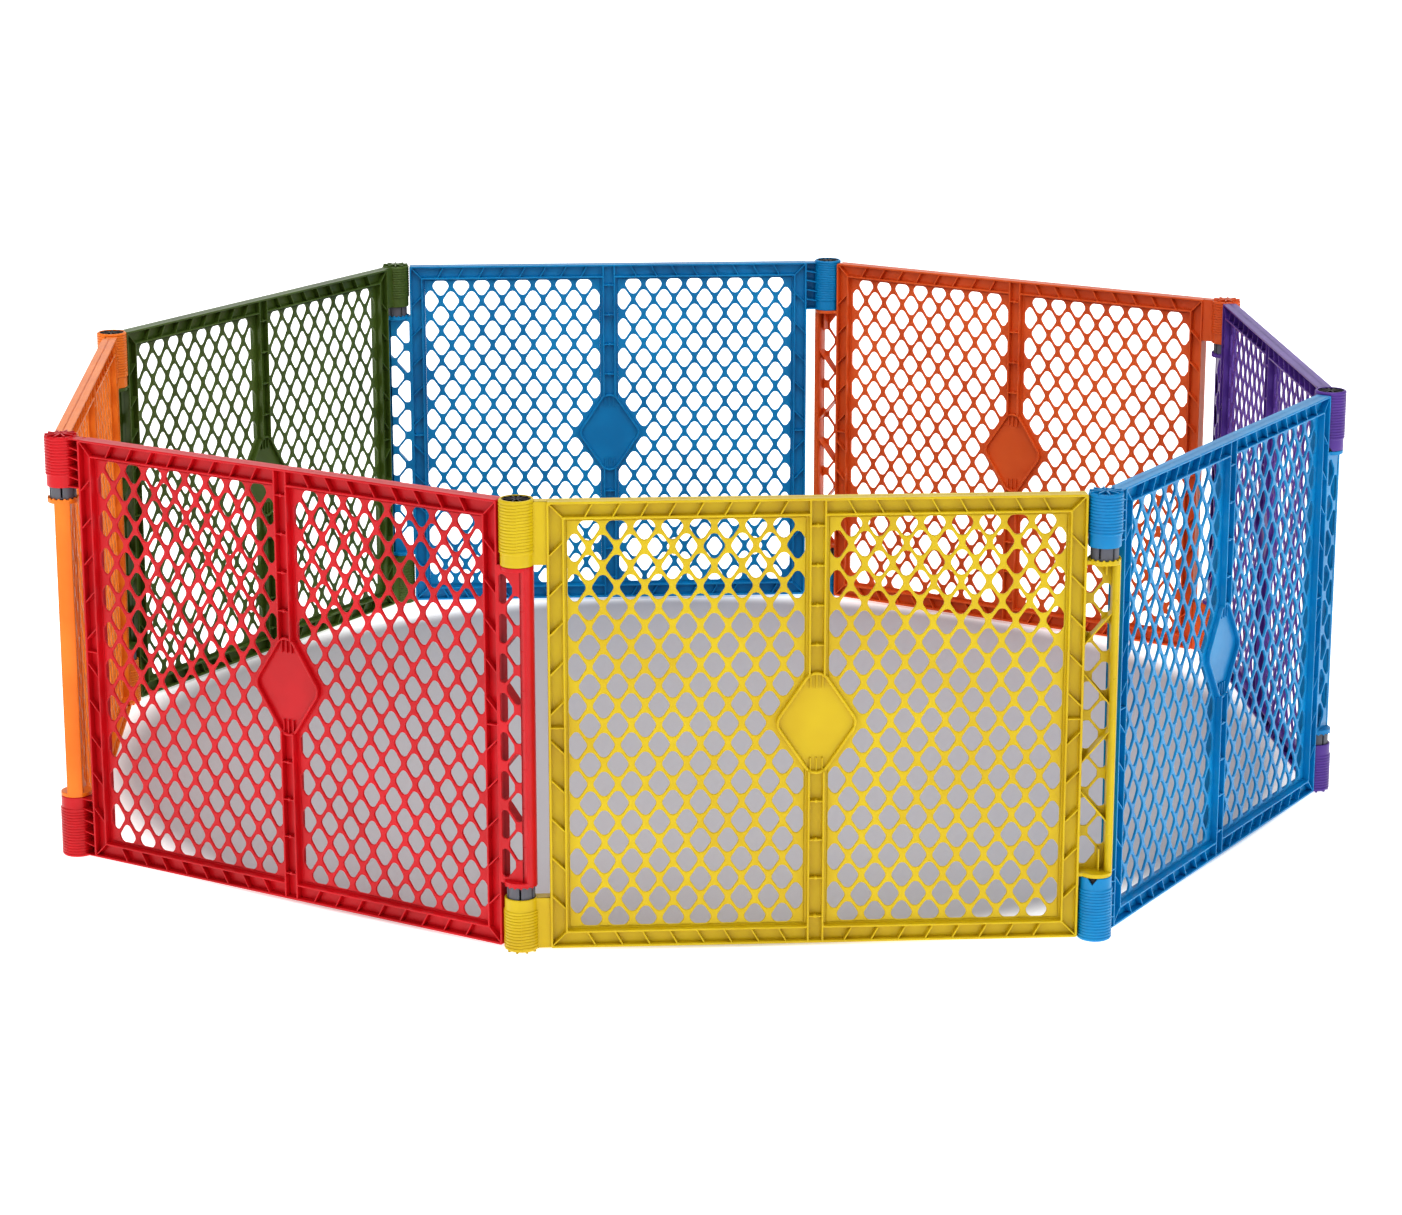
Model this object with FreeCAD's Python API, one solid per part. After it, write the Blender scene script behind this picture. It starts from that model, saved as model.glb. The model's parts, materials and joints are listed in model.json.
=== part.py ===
import FreeCAD
import Part
import math
import os

# A folding play yard: eight moulded mesh panels hinged end to end in a closed ring.
# Every panel is the same moulding. Alternate panels are turned upside down, so that
# the long knuckle of one always meets the short knuckle side of the next.
#
# Whole ring: +Z up, origin on the floor at the middle of the ring, the yellow panel
# across the front (-Y) with its outer face looking along -Y.
# Panel frame: x runs along the panel from its own knuckles (x = 0) to its hinge strip
# (x = panel_pitch), the outer face looks along -y, and z is the height above the floor.

# ---- Ring -------------------------------------------------------------------
overall_height = 660.0        # floor to the knuckles' upper ends
panel_pitch = 822.0           # hinge axis to hinge axis
wide_turn = 55.0              # degrees turned at the odd hinges; the even ones make up the square
quarter_turn = 90.0           # one wide and one narrow hinge together turn this much

# name, and whether the moulding stands upside down
PANELS = [("red", True), ("yellow", False), ("blue_front", True), ("purple", False),
          ("orange_back", True), ("blue_back", False), ("green", True), ("orange_left", False)]

# ---- Panel moulding ---------------------------------------------------------
panel_depth = 24.0            # thickness of the frame, outer face to inner face
knuckle_overhang = 4.0        # how far each knuckle's outer end stands past the frame's edge
rail_height = 28.0            # top and bottom rails
stile_width = 27.5            # upright at each end
bar_zone = 32.0               # mesh to mesh across the centre bar
bar_width = 24.0              # across the two flanges of the centre bar
edge_flange = 3.5             # outer flange round the frame
inner_flange = 3.0            # flange round each window and along the centre bar
mesh_border = 3.0             # flat border between the inner flange and the mesh
web_thickness = 3.0           # the frame's mid wall
rib_thickness = 2.0           # slanted ribs in the channels
rib_setback = 1.0             # ribs stop this short of the flanges' faces
rail_rib_lean = 12.0          # sideways lean of a rail rib over the channel's height
stile_rib_lean = 12.0         # rise of a stile rib over the channel's width

# ---- Mesh -------------------------------------------------------------------
hole_pitch_x = 39.4           # hole to hole along a row, before fitting whole holes in
hole_pitch_z = 57.6           # row to row of the same kind
cut_hole_reach = 10.0         # how far a cut hole reaches past its own middle
mesh_rim = 1.5                # solid rim left outside the cut holes
strand_width = 4.6
mesh_thickness = 4.0

# ---- Centre plaque ----------------------------------------------------------
plaque_width = 114.0
plaque_height = 150.0
plaque_corner = 20.0
plaque_rim = 4.0
plaque_depth = 18.0           # rim, outer face to inner face
plaque_wall = 4.0             # the recessed middle

# ---- Knuckles ---------------------------------------------------------------
long_knuckle = 95.0
short_knuckle = 80.0
knuckle_wall = 2.9            # round the bore, at the smooth band
grip_height = 1.5             # how far the grip rings stand out from the smooth band
smooth_band = 18.0            # smooth band at the end that faces the strip
web_length = 16.0             # knuckle's outside to its own frame
web_depth = 24.0              # thickness of the web from the knuckle to the frame
frame_gap = 1.0               # knuckle's outside to the neighbour's frame
notch_angle = 165.0           # where the one V notch stands, round from the panel's own direction
notch_depth = 10.0
notch_width = 15.0

# ---- Hinge strip ------------------------------------------------------------
lift_gap = 16.0               # collar left bare, and how far a panel lifts
rest_gap = 0.4                # strip to the knuckle it sits on
strip_wall = 3.0              # of the edge bar
strip_end = 6.0               # end discs
crown_height = 3.0            # ring of teeth on the bare end
crown_count = 16
edge_bar_width = 12.0         # the strip's rounded edge bar, measured in from its outermost line
strip_plate = 4.0             # the pierced plate, flush with the panel's inner face
strip_hole_width = 23.0
strip_hole_height = 42.0
strip_hole_tip = 9.0          # height of a strip hole's narrow side
strip_hole_square = 0.42      # share of a strip hole's width that keeps its full height
strip_border = 2.4            # frame's end to the nearest holes
strip_clear = 9.0             # solid plate kept at each end of the strip

# ---- Pivots -----------------------------------------------------------------
pivot_radius = 20.0
bore_clearance = 0.6          # radial, pivot in knuckle
end_clearance = 0.4           # pivot to the strip's end disc
collar_wall = 3.5
collar_grip = 32.0            # collar's length inside the short knuckle
collar_slots = 6
slot_width = 2.0
pin_recess = 1.5              # pin's end below the long knuckle's outer end
pin_slots = 8
pin_slot_depth = 6.0
pin_hub_radius = 5.0

# ---- Worked out -------------------------------------------------------------
bore_radius = pivot_radius + bore_clearance
band_radius = bore_radius + knuckle_wall
knuckle_radius = band_radius + grip_height
frame_left = knuckle_radius + web_length
frame_right = panel_pitch - knuckle_radius - frame_gap
frame_bottom = knuckle_overhang
frame_top = overall_height - knuckle_overhang
frame_middle = (frame_left + frame_right) / 2
window_bottom = frame_bottom + rail_height
window_top = frame_top - rail_height
windows = [(frame_left + stile_width, frame_middle - bar_zone / 2),
           (frame_middle + bar_zone / 2, frame_right - stile_width)]
middle_height = (frame_bottom + frame_top) / 2
# A panel's strip stands between its neighbour's knuckles, the neighbour being upside down
strip_bottom = long_knuckle + rest_gap
strip_top = overall_height - short_knuckle - lift_gap
big = 2 * (overall_height + panel_pitch)


def box(x0, x1, y0, y1, z0, z1):
    corner = FreeCAD.Vector(x0, y0, z0)
    return Part.makeBox(x1 - x0, y1 - y0, z1 - z0, corner)


def slab(x0, x1, depth, z0, z1):
    """A box of the given depth, centred on the panel's mid plane."""
    return box(x0, x1, -depth / 2, depth / 2, z0, z1)


def loop(points):
    """A closed wire of straight edges through (x, z) points."""
    corners = [FreeCAD.Vector(x, 0, z) for x, z in points]
    return Part.makePolygon(corners + corners[:1])


def upright_prism(wires, depth):
    """The face inside the first wire and outside the others, given a depth about the mid plane."""
    face = Part.makeFace(wires, "Part::FaceMakerBullseye")
    solid = face.extrude(FreeCAD.Vector(0, depth, 0))
    solid.translate(FreeCAD.Vector(0, -depth / 2, 0))
    return solid


def cylinder(radius, x, z0, z1):
    return Part.makeCylinder(radius, z1 - z0, FreeCAD.Vector(x, 0, z0))


def tube(outer, inner, x, z0, z1):
    return cylinder(outer, x, z0, z1).cut(cylinder(inner, x, z0, z1))


def joined(shapes):
    """The shapes fused into one, with the seams between flush faces removed."""
    return shapes[0].fuse(shapes[1:]).removeSplitter()


# ---- Frame ------------------------------------------------------------------
def ring_flange(x0, x1, z0, z1, thickness):
    """A rectangular flange of the full panel depth, its outer edge on the given lines."""
    inner = slab(x0 + thickness, x1 - thickness, 2 * panel_depth, z0 + thickness, z1 - thickness)
    return slab(x0, x1, panel_depth, z0, z1).cut(inner)


def rib(x0, z0, x1, z1):
    """A thin rib across a channel, from (x0, z0) to (x1, z1)."""
    length = math.hypot(x1 - x0, z1 - z0)
    side_x = -(z1 - z0) / length * rib_thickness / 2
    side_z = (x1 - x0) / length * rib_thickness / 2
    corners = [(x0 - side_x, z0 - side_z), (x1 - side_x, z1 - side_z),
               (x1 + side_x, z1 + side_z), (x0 + side_x, z0 + side_z)]
    return upright_prism([loop(corners)], panel_depth - 2 * rib_setback)


def mesh_steps(x0, x1):
    """Hole pitch and count along one window, with whole holes between the cut ones."""
    inside = x1 - x0 - 2 * cut_hole_reach - 2 * mesh_rim
    columns = max(2, round(inside / hole_pitch_x))
    return inside / columns, columns


def mesh_rows():
    inside = window_top - window_bottom - 2 * cut_hole_reach - 2 * mesh_rim
    rows = max(2, round(inside / hole_pitch_z))
    return inside / rows, rows


def rail_ribs():
    """Slanted ribs in the top and bottom rails, one over each column of holes."""
    made = []
    channel = rail_height - edge_flange / 2 - mesh_border - inner_flange / 2
    for (x0, x1), side in zip(windows, (1, -1)):
        pitch, columns = mesh_steps(x0, x1)
        for column in range(columns):
            x = x0 + mesh_rim + cut_hole_reach + (column + 0.5) * pitch
            lean = side * rail_rib_lean / 2
            top = frame_top - edge_flange / 2
            bottom = frame_bottom + edge_flange / 2
            made.append(rib(x - lean, top - channel, x + lean, top))
            made.append(rib(x - lean, bottom + channel, x + lean, bottom))
    return made


def stile_ribs():
    """Slanted ribs in the two uprights, a level one half way up, and a mitre at each corner."""
    made = []
    pitch, rows = mesh_rows()
    channel = stile_width - edge_flange / 2 - mesh_border - inner_flange / 2
    for edge, side in ((frame_left + edge_flange / 2, 1), (frame_right - edge_flange / 2, -1)):
        inner = edge + side * channel
        for row in range(rows):
            z = window_bottom + mesh_rim + cut_hole_reach + (row + 0.5) * pitch
            lean = math.copysign(stile_rib_lean / 2, z - middle_height)
            made.append(rib(edge, z - lean, inner, z + lean))
        made.append(rib(edge, middle_height, inner, middle_height))
        for end, inward in ((frame_bottom + edge_flange / 2, 1), (frame_top - edge_flange / 2, -1)):
            rise = rail_height - edge_flange / 2 - mesh_border - inner_flange / 2
            made.append(rib(edge, end, inner, end + inward * rise))
    return made


def bar_parts():
    """The centre bar's two upright flanges and the level ribs between them."""
    half = bar_width / 2
    bottom, top = frame_bottom + edge_flange / 2, frame_top - edge_flange / 2
    made = [slab(frame_middle - half, frame_middle - half + inner_flange, panel_depth, bottom, top),
            slab(frame_middle + half - inner_flange, frame_middle + half, panel_depth, bottom, top)]
    pitch, rows = mesh_rows()
    reach = half - inner_flange / 2
    for row in range(rows + 1):
        z = window_bottom + mesh_rim + cut_hole_reach + row * pitch
        made.append(rib(frame_middle - reach, z, frame_middle + reach, z))
    return made


def window_flange(x0, x1):
    """The flange round one window, left open along the centre bar, which has its own."""
    margin = mesh_border + inner_flange
    ring = ring_flange(x0 - margin, x1 + margin, window_bottom - margin, window_top + margin,
                       inner_flange)
    near_bar = slab(frame_middle - bar_width / 2 + inner_flange / 2,
                    frame_middle + bar_width / 2 - inner_flange / 2, 2 * panel_depth, 0, big)
    return ring.cut(near_bar).cut(slab(x0, x1, 2 * panel_depth, window_bottom, window_top))


def rounded_diamond(width, height, radius):
    """An upright diamond with round corners: four arcs joined by the straight lines that touch them."""
    a, b = width / 2 - radius, height / 2 - radius
    slope = math.hypot(a, b)
    ux, uz = b / slope * radius, a / slope * radius
    centres = [(a, 0), (0, b), (-a, 0), (0, -b)]
    outward = [(radius, 0), (0, radius), (-radius, 0), (0, -radius)]
    before = [(ux, -uz), (ux, uz), (-ux, uz), (-ux, -uz)]
    after = before[1:] + before[:1]
    spots = []
    for (cx, cz), *steps in zip(centres, before, outward, after):
        spots.append([FreeCAD.Vector(frame_middle + cx + dx, 0, middle_height + cz + dz)
                      for dx, dz in steps])
    edges = []
    for index, (start, top, end) in enumerate(spots):
        edges.append(Part.Arc(start, top, end).toShape())
        edges.append(Part.LineSegment(end, spots[(index + 1) % 4][0]).toShape())
    return Part.Wire(edges)


def plaque_outline(inset=0.0):
    return rounded_diamond(plaque_width - 2 * inset, plaque_height - 2 * inset, plaque_corner - inset)


def frame():
    web = slab(frame_left, frame_right, web_thickness, frame_bottom, frame_top)
    for x0, x1 in windows:
        web = web.cut(slab(x0, x1, 2 * web_thickness, window_bottom, window_top))
    parts = [web, ring_flange(frame_left, frame_right, frame_bottom, frame_top, edge_flange)]
    parts += bar_parts() + rail_ribs() + stile_ribs()
    bar_gap = (bar_zone - bar_width) / 2
    for (x0, x1), side in zip(windows, (0, 1)):
        # the flange beside the bar is the bar's own, so the ring's side falls outside and is cut off
        near, far = (x0, x1 + bar_gap) if side == 0 else (x0 - bar_gap, x1)
        parts.append(window_flange(near, far))
    return joined(parts).cut(upright_prism([plaque_outline()], 2 * panel_depth))


# ---- Mesh -------------------------------------------------------------------
def clipped(points, axis, limit, keep):
    """The part of a polygon on one side of a line: axis 0 is x and 1 is z, keep is +1 for above."""
    kept = []
    for index, here in enumerate(points):
        before = points[index - 1]
        inside = (here[axis] - limit) * keep >= 0
        if inside != ((before[axis] - limit) * keep >= 0):
            share = (limit - before[axis]) / (here[axis] - before[axis])
            kept.append(tuple(b + share * (h - b) for b, h in zip(before, here)))
        if inside:
            kept.append(here)
    return kept


def clear_of_plaque(hole):
    """True if a hole keeps a strand's width from the plaque's straight sides."""
    a, b = plaque_width / 2 - plaque_corner, plaque_height / 2 - plaque_corner
    slope = math.hypot(a, b)
    reach = a * b / slope + plaque_corner + strand_width
    return all((abs(x - frame_middle) * b + abs(z - middle_height) * a) / slope > reach for x, z in hole)


def mesh_pane(x0, x1):
    """One window's mesh: a plate with diamond holes in offset rows, cut at the window's edges."""
    pitch_x, columns = mesh_steps(x0, x1)
    pitch_z, rows = mesh_rows()
    shrink = 1 - strand_width * math.hypot(pitch_x, pitch_z) / (pitch_x * pitch_z)
    half_x, half_z = shrink * pitch_x / 2, shrink * pitch_z / 2
    wires = [loop([(x0, window_bottom), (x1, window_bottom), (x1, window_top), (x0, window_top)])]
    start = mesh_rim + cut_hole_reach
    for i in range(2 * columns + 1):
        for k in range(2 * rows + 1):
            if (i + k) % 2 == 0:
                continue
            x, z = x0 + start + i * pitch_x / 2, window_bottom + start + k * pitch_z / 2
            hole = [(x - half_x, z), (x, z - half_z), (x + half_x, z), (x, z + half_z)]
            hole = clipped(hole, 0, x0 + mesh_rim, 1)
            hole = clipped(hole, 0, x1 - mesh_rim, -1)
            hole = clipped(hole, 1, window_bottom + mesh_rim, 1)
            hole = clipped(hole, 1, window_top - mesh_rim, -1)
            if clear_of_plaque(hole):
                wires.append(loop(hole))
    return upright_prism(wires, mesh_thickness)


def mesh():
    around = upright_prism([plaque_outline()], 2 * panel_depth)
    return Part.makeCompound([mesh_pane(x0, x1).cut(around) for x0, x1 in windows])


# ---- Plaque -----------------------------------------------------------------
def plaque():
    rim = upright_prism([plaque_outline(), plaque_outline(plaque_rim)], plaque_depth)
    return joined([rim, upright_prism([plaque_outline()], plaque_wall)])


# ---- Knuckles ---------------------------------------------------------------
def knuckle(z0, z1, band_first):
    """One knuckle with its web to the frame; band_first puts the smooth band at the lower end."""
    split = z0 + smooth_band if band_first else z1 - smooth_band
    barrel = joined([cylinder(band_radius, 0, z0, z1),
                     cylinder(knuckle_radius, 0, *((split, z1) if band_first else (z0, split)))])
    web_low, web_high = max(z0, frame_bottom), min(z1, frame_top)
    web = slab(0, frame_left, web_depth, web_low, web_high)
    return joined([barrel, web]).cut(cylinder(bore_radius, 0, z0 - 1, z1 + 1))


def knuckles():
    lower = knuckle(0, short_knuckle, False)
    face = overall_height - long_knuckle
    upper = knuckle(face, overall_height, True)
    notch = Part.makePolygon([FreeCAD.Vector(0, y, face + z) for y, z in (
        (-notch_width / 2, -1), (notch_width / 2, -1), (0, notch_depth), (-notch_width / 2, -1))])
    cut = Part.Face(notch).extrude(FreeCAD.Vector(2 * knuckle_radius, 0, 0))
    cut.rotate(FreeCAD.Vector(), FreeCAD.Vector(0, 0, 1), notch_angle)
    upper = upper.cut(cut)
    return Part.makeCompound([lower, upper])


# ---- Hinge strip ------------------------------------------------------------
def strip_holes():
    """D-shaped holes in two columns, every other one turned round."""
    pitch, rows = mesh_rows()
    cells = []
    low, high = strip_bottom + strip_clear, strip_top - strip_clear
    inner_x = frame_right + strip_border
    outer_x = panel_pitch + band_radius - edge_bar_width
    half, tip = strip_hole_height / 2, strip_hole_tip / 2
    for index in range(2 * rows + 1):
        z = window_bottom + mesh_rim + cut_hole_reach + index * pitch / 2
        if z - half < low or z + half > high:
            continue
        flat, point = ((inner_x, strip_hole_width) if index % 2 else (outer_x, -strip_hole_width))
        near = flat + point * strip_hole_square
        cells.append(loop([(flat, z - half), (near, z - half), (flat + point, z - tip),
                           (flat + point, z + tip), (near, z + half), (flat, z + half)]))
    return cells


def strip():
    """The upright half hinge: a pierced plate, a rounded edge bar, end discs and a toothed crown."""
    low, high = strip_bottom, strip_top - crown_height
    bar_x = panel_pitch + band_radius - edge_bar_width
    edge_bar = cylinder(band_radius, panel_pitch, low, high)
    edge_bar = edge_bar.common(slab(bar_x, big, panel_depth, 0, big))
    hollow = cylinder(band_radius - strip_wall, panel_pitch, low + strip_end, high - strip_end)
    edge_bar = edge_bar.cut(hollow.common(slab(0, big, panel_depth - 2 * strip_wall, 0, big)))
    plate_right = bar_x + strip_wall
    outline = loop([(frame_right, low), (plate_right, low), (plate_right, high), (frame_right, high)])
    plate = upright_prism([outline] + strip_holes(), strip_plate)
    plate.translate(FreeCAD.Vector(0, (panel_depth - strip_plate) / 2, 0))
    discs = []
    for z in (strip_bottom, strip_top - crown_height - strip_end):
        disc = cylinder(band_radius, panel_pitch, z, z + strip_end)
        web = slab(frame_right, panel_pitch, web_depth, z, z + strip_end)
        discs.append(disc.fuse(web).cut(box(-big, frame_right, -big, big, 0, big)))
    crown = tube(band_radius, bore_radius, panel_pitch,
                 strip_top - crown_height - strip_end / 2, strip_top)
    for index in range(crown_count // 2):
        gap = box(-big, big, -slot_width, slot_width, strip_top - crown_height, big)
        gap.rotate(FreeCAD.Vector(), FreeCAD.Vector(0, 0, 1), index * 360 / crown_count)
        gap.translate(FreeCAD.Vector(panel_pitch, 0, 0))
        crown = crown.cut(gap)
    return joined([plate, edge_bar, crown] + discs)


# ---- Pivots -----------------------------------------------------------------
def radial_slots(shape, count, width, z0, z1, hub):
    """Cuts count slots into a round shape, from its edge in to the hub radius."""
    for index in range(count):
        slot = box(hub, 2 * pivot_radius, -width / 2, width / 2, z0, z1)
        slot.rotate(FreeCAD.Vector(), FreeCAD.Vector(0, 0, 1), index * 360 / count)
        slot.translate(FreeCAD.Vector(panel_pitch, 0, 0))
        shape = shape.cut(slot)
    return shape


def collar():
    """The slotted sleeve at the strip's bare end, running up into the short knuckle."""
    z0 = strip_top - crown_height + end_clearance
    z1 = strip_top + lift_gap + collar_grip
    sleeve = tube(pivot_radius, pivot_radius - collar_wall, panel_pitch, z0, z1)
    return radial_slots(sleeve, collar_slots, slot_width, z0 + collar_wall, z1 + 1,
                        pivot_radius - 2 * collar_wall)


def pin():
    """The pin through the long knuckle, with its spoked end showing."""
    z0, z1 = pin_recess, strip_bottom - end_clearance
    shaft = cylinder(pivot_radius, panel_pitch, z0, z1)
    return radial_slots(shaft, pin_slots, slot_width, z0 - 1, z0 + pin_slot_depth, pin_hub_radius)


# ---- Ring -------------------------------------------------------------------
def hinge_plan():
    """Each panel's knuckle axis and heading, walking round the ring with its middle at the origin."""
    turns = [quarter_turn - wide_turn, wide_turn]      # turned at the end of red, then of yellow
    heading, x, y = -turns[0], 0.0, 0.0               # so that the yellow panel runs along X
    plan = []
    for index in range(len(PANELS)):
        plan.append((x, y, heading))
        x += panel_pitch * math.cos(math.radians(heading))
        y += panel_pitch * math.sin(math.radians(heading))
        heading += turns[index % 2]
    middle_x = sum(place[0] for place in plan) / len(plan)
    middle_y = sum(place[1] for place in plan) / len(plan)
    return [(x - middle_x, y - middle_y, heading) for x, y, heading in plan]


def placed(shape, place, upside_down):
    copy = shape.copy()
    if upside_down:
        copy.rotate(FreeCAD.Vector(0, 0, overall_height / 2), FreeCAD.Vector(1, 0, 0), 180)
    x, y, heading = place
    copy.rotate(FreeCAD.Vector(), FreeCAD.Vector(0, 0, 1), heading)
    copy.translate(FreeCAD.Vector(x, y, 0))
    return copy


def main():
    os.makedirs("parts", exist_ok=True)
    pieces = {"frame": frame(), "mesh": mesh(), "plaque": plaque(), "knuckles": knuckles(),
              "strip": strip(), "collar": collar(), "pin": pin()}
    for name, shape in pieces.items():
        print(name, "solids", len(shape.Solids), "valid", shape.isValid(), "cm3", round(shape.Volume / 1000, 1))
    for (panel, upside_down), place in zip(PANELS, hinge_plan()):
        print(panel, "axis at", [round(value, 1) for value in place[:2]], "heading", round(place[2], 1))
        for name, shape in pieces.items():
            placed(shape, place, upside_down).exportStep("parts/%s_%s.step" % (panel, name))


main()
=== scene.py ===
# %% [markdown]
# # A folding play yard in moulded plastic
# Eight identical panels stand in a ring. Each one is a single injection moulding with a
# ribbed frame, two panes of diamond mesh, a plaque in the middle, a pair of knuckles at one
# end and a pierced hinge strip at the other. Every second panel stands upside down.
# The CAD model comes in first. It holds the true sizes and the joints, so everything made
# here is measured from it.

# %% Load the frame
import json
import math

import bmesh
import bpy
from mathutils import Matrix, Vector
from mathutils.geometry import delaunay_2d_cdt


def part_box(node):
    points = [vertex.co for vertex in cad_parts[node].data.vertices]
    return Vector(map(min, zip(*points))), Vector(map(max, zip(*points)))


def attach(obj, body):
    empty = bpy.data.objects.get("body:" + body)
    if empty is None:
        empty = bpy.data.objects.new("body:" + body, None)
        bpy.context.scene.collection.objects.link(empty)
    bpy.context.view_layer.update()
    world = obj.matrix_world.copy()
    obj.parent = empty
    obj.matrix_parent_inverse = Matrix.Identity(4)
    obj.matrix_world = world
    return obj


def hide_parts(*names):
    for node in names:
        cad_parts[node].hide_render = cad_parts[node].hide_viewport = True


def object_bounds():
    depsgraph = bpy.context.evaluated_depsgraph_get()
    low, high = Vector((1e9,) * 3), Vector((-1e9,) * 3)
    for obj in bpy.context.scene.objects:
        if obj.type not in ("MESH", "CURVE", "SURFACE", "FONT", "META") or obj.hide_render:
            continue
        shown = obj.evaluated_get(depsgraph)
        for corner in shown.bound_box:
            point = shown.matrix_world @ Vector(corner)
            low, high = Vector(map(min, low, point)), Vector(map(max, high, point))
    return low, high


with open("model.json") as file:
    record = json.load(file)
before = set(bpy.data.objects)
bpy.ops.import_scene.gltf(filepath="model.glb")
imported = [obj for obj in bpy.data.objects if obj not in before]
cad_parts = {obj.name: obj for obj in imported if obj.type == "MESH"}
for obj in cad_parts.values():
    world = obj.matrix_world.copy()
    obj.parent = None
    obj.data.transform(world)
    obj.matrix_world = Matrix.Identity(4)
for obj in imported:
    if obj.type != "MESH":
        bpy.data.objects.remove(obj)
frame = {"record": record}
cad_low, cad_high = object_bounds()
HEIGHT = cad_high.z * 1000

# %% [markdown]
# ## Camera
# The yard is seen from a little above a standing adult's eye, from the front. A long lens
# keeps the far panels large. The camera is made first, so that every later step can be
# looked at through it. There is no blur and no shift, so it can be turned to any side.

# %% Camera
camera_data = bpy.data.cameras.new("camera")
camera_data.lens = 94.3
camera_data.sensor_width = 36
camera_data.clip_end = 60
camera = bpy.data.objects.new("camera", camera_data)
bpy.context.scene.collection.objects.link(camera)
camera.location = (-0.361, -5.928, 1.812)
camera_turn, camera_tilt = math.radians(3.55), math.radians(14.84)
camera.rotation_euler = (math.pi / 2 - camera_tilt, 0, -camera_turn)
bpy.context.scene.camera = camera
print("camera", [round(value, 2) for value in camera.location])

# %% [markdown]
# ## Where each panel stands
# A panel's two pivots stand on the axis of its own hinge strip, and the next panel's
# knuckles turn on the same axis. The middles of the pins are therefore the corners of the
# ring. A panel whose pin is in its upper half stands upside down. Every panel gets one
# matrix that carries its own millimetres into the ring: x along the panel from its knuckle
# axis, y towards the inside, z up.

# %% Panel places
MM = 0.001
PANELS = ["red", "yellow", "blue_front", "purple", "orange_back", "blue_back", "green", "orange_left"]


def strip_axis(panel):
    low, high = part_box(panel + "_pin")
    return (low + high) / 2


def panel_matrix(panel):
    own = strip_axis(panel)
    before = strip_axis(PANELS[PANELS.index(panel) - 1])
    heading = math.atan2(own.y - before.y, own.x - before.x)
    matrix = Matrix.Translation((before.x, before.y, 0)) @ Matrix.Rotation(heading, 4, "Z")
    if own.z > cad_high.z / 2:
        middle = Matrix.Translation((0, 0, cad_high.z / 2))
        matrix = matrix @ middle @ Matrix.Rotation(math.pi, 4, "X") @ middle.inverted()
    return matrix @ Matrix.Scale(MM, 4)


places = {panel: panel_matrix(panel) for panel in PANELS}
first, second = strip_axis("red"), strip_axis("yellow")
PITCH = (second - first).to_2d().length * 1000
print("hinge to hinge mm", round(PITCH, 2))

# %% [markdown]
# ## Sizes of one moulding
# The yellow panel stands square to the front, so its boxes give the moulding's sizes
# directly. What a box can't tell, such as the width of a rib, is named here in millimetres.

# %% Sizes
frame_low, frame_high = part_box("yellow_frame")
mesh_low, mesh_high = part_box("yellow_mesh")
plaque_low, plaque_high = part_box("yellow_plaque")
strip_low, strip_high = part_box("yellow_strip")

LEFT, RIGHT = (frame_low.x - first.x) * 1000, (frame_high.x - first.x) * 1000
BOTTOM, TOP = frame_low.z * 1000, frame_high.z * 1000
MIDDLE_X, MIDDLE_Z = (LEFT + RIGHT) / 2, (BOTTOM + TOP) / 2
DEPTH = (frame_high.y - frame_low.y) * 1000
PANE_LOW, PANE_HIGH = mesh_low.z * 1000, mesh_high.z * 1000
BAR_ZONE, BAR_WIDTH = 32, 24
PANES = [((mesh_low.x - first.x) * 1000, MIDDLE_X - BAR_ZONE / 2),
         (MIDDLE_X + BAR_ZONE / 2, (mesh_high.x - first.x) * 1000)]
EDGE_FLANGE, INNER_FLANGE, BORDER, WEB, RIB = 3.5, 3, 3, 3, 2
STRIP_LOW, STRIP_HIGH = strip_low.z * 1000, strip_high.z * 1000
LONG_KNUCKLE, SHORT_KNUCKLE, SMOOTH_BAND = 95, 80, 18
PIN_RADIUS, BORE, BAND_RADIUS, GRIP_RADIUS = 20, 20.6, 23.5, 25
print("frame mm", round(RIGHT - LEFT), "x", round(TOP - BOTTOM), "x", round(DEPTH))

# %% [markdown]
# ## Flat shapes with rounded edges
# Almost the whole moulding is made of flat walls: a mould opens in one direction, so every
# wall is a flat outline with some depth. An outline's corner is rounded by an arc that
# touches its two sides.

# %% Outlines
def rounded(points, radius, steps=4):
    """The closed outline with each corner replaced by an arc of at most that radius."""
    made = []
    for index, point in enumerate(points):
        here = Vector(point)
        back, ahead = Vector(points[index - 1]) - here, Vector(points[(index + 1) % len(points)]) - here
        turn = math.pi - back.angle(ahead)
        if turn < 0.02:
            continue
        reach = min(radius * math.tan(turn / 2), 0.48 * back.length, 0.48 * ahead.length)
        real = reach / math.tan(turn / 2)
        start = here + back.normalized() * reach
        middle = here + (back.normalized() + ahead.normalized()).normalized() * math.hypot(reach, real)
        for step in range(steps + 1):
            arm = start - middle
            side = 1 if arm.cross(here - middle) > 0 else -1
            arm.rotate(Matrix.Rotation(side * turn * step / steps, 2))
            made.append(middle + arm)
    return made


def rectangle(x0, x1, z0, z1):
    return [(x0, z0), (x1, z0), (x1, z1), (x0, z1)]


print("a rounded square has", len(rounded(rectangle(0, 10, 0, 10), 2)), "points")

# %% [markdown]
# ## Walls from outlines
# A filled 2D curve could turn outlines into walls, but its filling goes wrong with hundreds
# of holes. A constrained triangulation doesn't: every outline has to appear in it, and the
# triangles that join three points of one hole are left out. Each outline then runs round
# the wall's edge in several rings, drawn in a little near both faces, which rounds the edge.

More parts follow.
